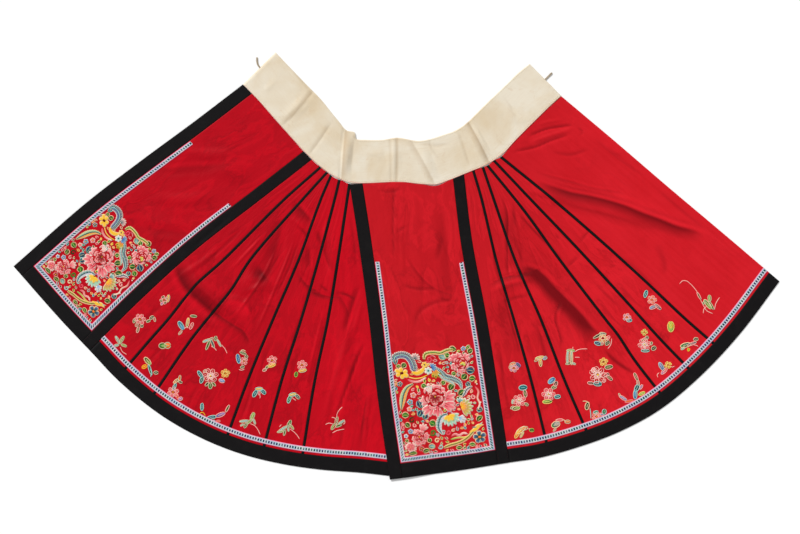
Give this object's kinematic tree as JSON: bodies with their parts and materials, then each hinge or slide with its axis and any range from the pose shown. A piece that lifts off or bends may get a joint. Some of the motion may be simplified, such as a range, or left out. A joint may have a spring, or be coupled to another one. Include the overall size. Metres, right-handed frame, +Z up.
{
  "type": "embroidered wrap skirt laid flat",
  "caption": "Pleated wrap skirt opened flat: red satin gores and embroidered face panels with black borders, woven ribbons and a cotton waistband.",
  "frame": {"origin": "middle of the bounding box, on the surface the skirt lies on", "axes": "+X to the right along the hem, +Y from the hem to the waistband, +Z up from the surface"},
  "size_m": [2.198, 1.226, 0.0104],
  "materials": {
    "red_satin": "silk satin",
    "black_satin": "silk satin",
    "woven_ribbon": "woven silk",
    "cotton": "plain coarse weave",
    "cord": "twisted cotton cord"
  },
  "bodies": {
    "root": {"waistband": "cotton", "button_loop_left": "cord", "button_loop_right": "cord", "left_face_panel": "red_satin", "left_border_outer": "black_satin", "left_border_inner": "black_satin", "left_border_hem": "black_satin", "left_face_ribbon": "woven_ribbon", "left_gore_1": "red_satin", "left_gore_2": "red_satin", "left_gore_3": "red_satin", "left_gore_4": "red_satin", "left_gore_5": "red_satin", "left_piping_1": "black_satin", "left_piping_2": "black_satin", "left_piping_3": "black_satin", "left_piping_4": "black_satin", "left_piping_5": "black_satin", "left_inner_panel": "red_satin", "left_hem_band": "black_satin", "left_hem_ribbon": "woven_ribbon", "right_face_panel": "red_satin", "right_border_outer": "black_satin", "right_border_inner": "black_satin", "right_border_hem": "black_satin", "right_face_ribbon": "woven_ribbon", "right_gore_1": "red_satin", "right_gore_2": "red_satin", "right_gore_3": "red_satin", "right_gore_4": "red_satin", "right_gore_5": "red_satin", "right_piping_1": "black_satin", "right_piping_2": "black_satin", "right_piping_3": "black_satin", "right_piping_4": "black_satin", "right_piping_5": "black_satin", "right_inner_panel": "red_satin", "right_hem_band": "black_satin", "right_hem_ribbon": "woven_ribbon"}
  },
  "joints": []
}
